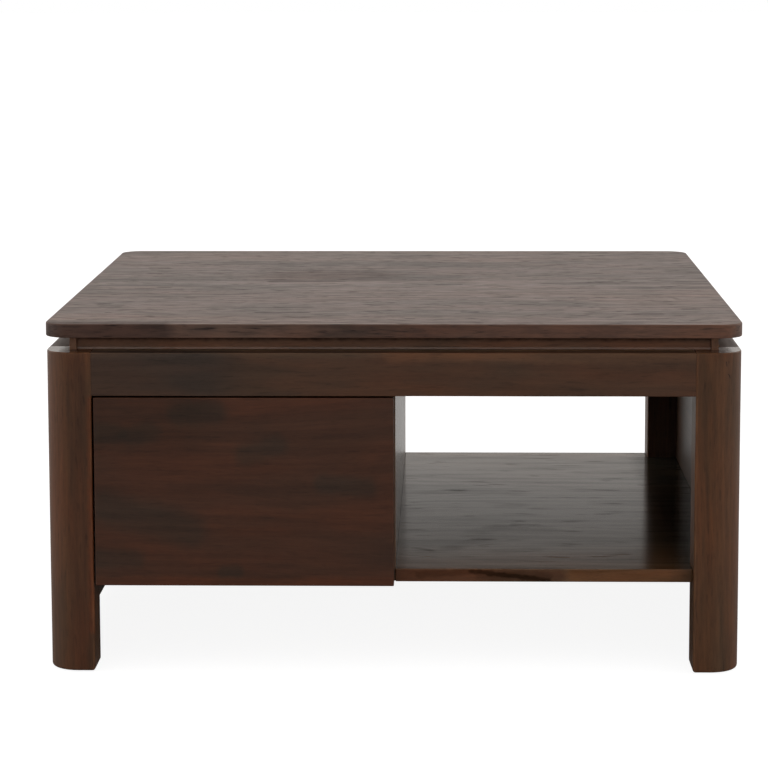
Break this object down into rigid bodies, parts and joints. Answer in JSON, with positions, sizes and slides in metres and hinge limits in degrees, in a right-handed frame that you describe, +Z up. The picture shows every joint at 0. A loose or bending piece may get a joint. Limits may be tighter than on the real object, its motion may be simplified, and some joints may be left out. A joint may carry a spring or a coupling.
{
  "type": "coffee table",
  "caption": "Square low table: thin top on a set-back reveal, rounded square legs, a handleless drawer on ball-bearing runners and an open shelf beside it.",
  "frame": {"origin": "on the floor under the middle of the top", "axes": "+Z up, the drawer opens along -Y, +X to the right seen from the drawer's side"},
  "size_m": [0.8, 0.8, 0.407],
  "materials": {
    "stained_top": "dark walnut stain under a satin lacquer, open pores",
    "stained_frame": "dark walnut stain under a satin lacquer",
    "stained_panel": "dark walnut stain under a satin lacquer",
    "stained_shelf": "dark walnut stain under a satin lacquer",
    "stained_front": "dark walnut stain under a satin lacquer",
    "inner_wood": "thin brown stain, matt",
    "bottom_board": "thin brown stain on plywood, matt",
    "zinc_steel": "bright zinc plate",
    "bearing_steel": "polished balls in pressed cages",
    "screw_steel": "bright zinc plate",
    "glide": "black, matt"
  },
  "bodies": {
    "table": {"table_top": "stained_top", "reveal_front": "stained_frame", "reveal_rear": "stained_frame", "reveal_left": "stained_frame", "reveal_right": "stained_frame", "top_battens": "inner_wood", "top_screws": "screw_steel", "leg_front_left": "stained_frame", "leg_front_right": "stained_frame", "leg_rear_left": "stained_frame", "leg_rear_right": "stained_frame", "foot_glides": "glide", "apron_front": "stained_frame", "apron_rear": "stained_frame", "apron_left": "stained_frame", "apron_right": "stained_frame", "sub_top": "inner_wood", "cleat_front": "inner_wood", "cleat_rear": "inner_wood", "cleat_left": "inner_wood", "cleat_right": "inner_wood", "side_panel_left": "stained_panel", "side_panel_right": "stained_panel", "divider": "stained_panel", "shelf": "stained_shelf", "rear_panel": "stained_panel", "runner_packer": "inner_wood", "runner_outer_left": "zinc_steel", "runner_outer_right": "zinc_steel", "case_screws_left": "screw_steel", "case_screws_right": "screw_steel"},
    "drawer": {"drawer_front": "stained_front", "drawer_subfront": "inner_wood", "drawer_side_left": "inner_wood", "drawer_side_right": "inner_wood", "drawer_back": "inner_wood", "drawer_bottom": "bottom_board", "drawer_front_screws": "screw_steel", "runner_inner_left": "zinc_steel", "runner_inner_right": "zinc_steel", "box_screws_left": "screw_steel", "box_screws_right": "screw_steel"},
    "middle_left": {"runner_middle_left": "zinc_steel"},
    "outer_cage_left": {"outer_cage_left": "bearing_steel"},
    "inner_cage_left": {"inner_cage_left": "bearing_steel"},
    "middle_right": {"runner_middle_right": "zinc_steel"},
    "outer_cage_right": {"outer_cage_right": "bearing_steel"},
    "inner_cage_right": {"inner_cage_right": "bearing_steel"}
  },
  "joints": [
    {"name": "drawer_slide", "type": "slide", "parent": "table", "child": "drawer", "axis": [0, -1, 0], "range_m": [0, 0.48]},
    {"name": "middle_left_slide", "type": "slide", "parent": "table", "child": "middle_left", "axis": [0, -1, 0], "range_m": [0, 0.24]},
    {"name": "outer_cage_left_slide", "type": "slide", "parent": "table", "child": "outer_cage_left", "axis": [0, -1, 0], "range_m": [0, 0.12]},
    {"name": "inner_cage_left_slide", "type": "slide", "parent": "table", "child": "inner_cage_left", "axis": [0, -1, 0], "range_m": [0, 0.36]},
    {"name": "middle_right_slide", "type": "slide", "parent": "table", "child": "middle_right", "axis": [0, -1, 0], "range_m": [0, 0.24]},
    {"name": "outer_cage_right_slide", "type": "slide", "parent": "table", "child": "outer_cage_right", "axis": [0, -1, 0], "range_m": [0, 0.12]},
    {"name": "inner_cage_right_slide", "type": "slide", "parent": "table", "child": "inner_cage_right", "axis": [0, -1, 0], "range_m": [0, 0.36]}
  ],
  "couplings": [
    {"joint": "middle_left_slide", "follows": "drawer_slide", "ratio": 0.5},
    {"joint": "outer_cage_left_slide", "follows": "drawer_slide", "ratio": 0.25},
    {"joint": "inner_cage_left_slide", "follows": "drawer_slide", "ratio": 0.75},
    {"joint": "middle_right_slide", "follows": "drawer_slide", "ratio": 0.5},
    {"joint": "outer_cage_right_slide", "follows": "drawer_slide", "ratio": 0.25},
    {"joint": "inner_cage_right_slide", "follows": "drawer_slide", "ratio": 0.75}
  ]
}
